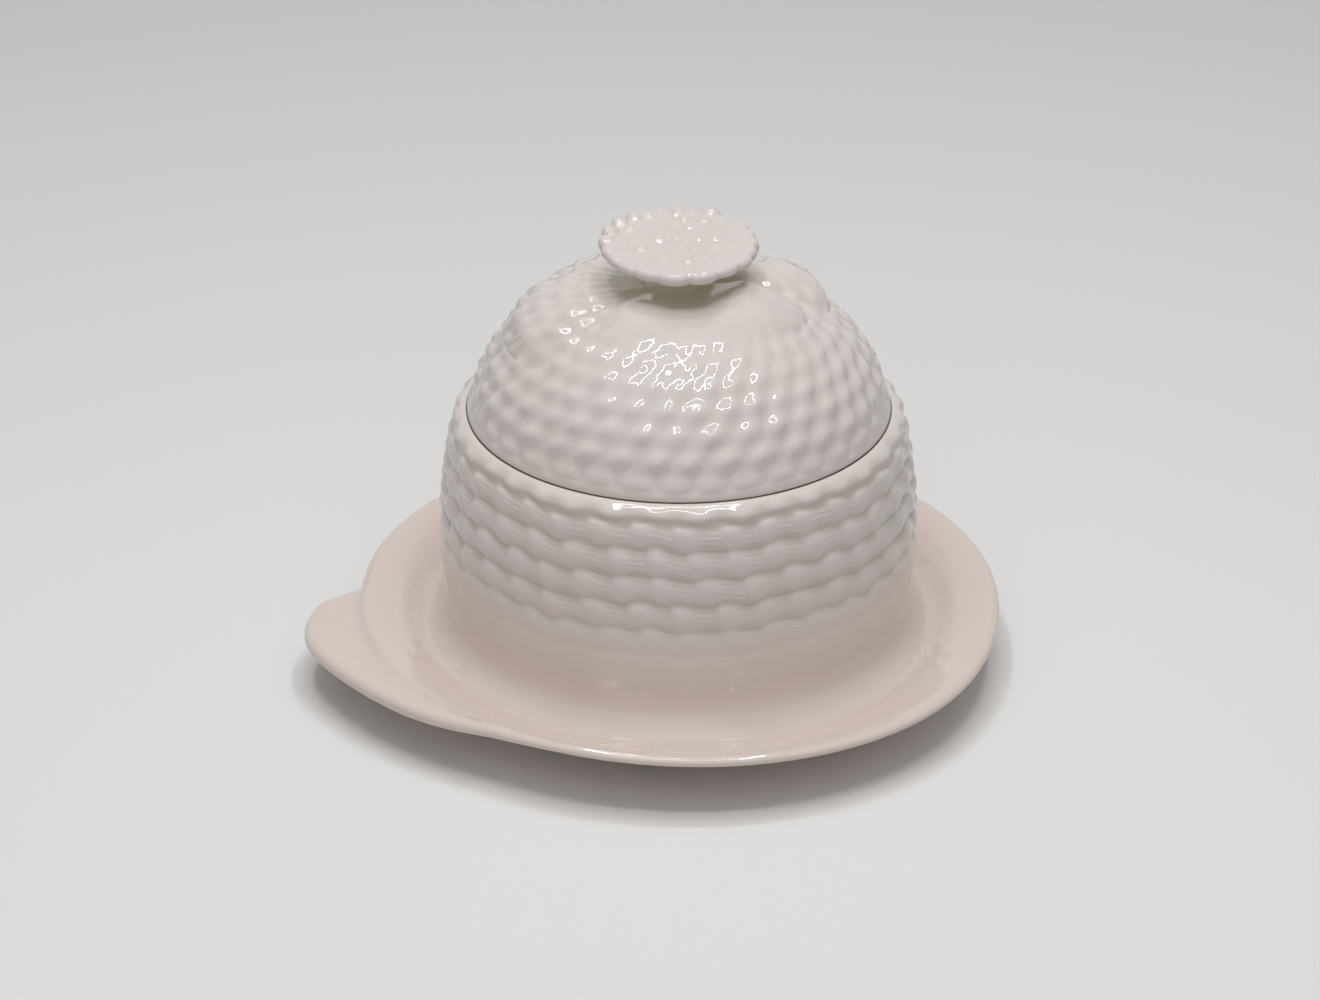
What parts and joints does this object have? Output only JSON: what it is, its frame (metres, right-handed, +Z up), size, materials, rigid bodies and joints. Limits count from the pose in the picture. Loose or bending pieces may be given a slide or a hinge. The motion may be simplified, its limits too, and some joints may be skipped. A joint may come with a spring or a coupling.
{
  "type": "honey pot",
  "caption": "Glazed earthenware honey pot shaped as a coiled hive on its own saucer with a thumb tab, and a lift-off domed lid with leaves and a flower knob.",
  "frame": {"origin": "on the table, in the middle of the saucer's foot ring, on the axis of the pot", "axes": "+Z up along the axis of the pot; -X towards the thumb tab of the saucer"},
  "size_m": [0.1784, 0.164, 0.1151],
  "materials": {
    "cream_glaze": "gloss",
    "knob_glaze": "gloss"
  },
  "bodies": {
    "pot": {"saucer": "cream_glaze", "hive_pot": "cream_glaze"},
    "lid": {"lid": "cream_glaze", "leaf_1": "knob_glaze", "leaf_2": "knob_glaze", "leaf_3": "knob_glaze", "flower_stem": "knob_glaze", "flower_disc": "knob_glaze", "outer_petals": "knob_glaze", "inner_petals": "knob_glaze", "flower_centre": "knob_glaze"}
  },
  "joints": [
    {"name": "lid_lift", "type": "slide", "parent": "pot", "child": "lid", "axis": [0, 0, 1], "range_m": [0, 0.12]}
  ]
}
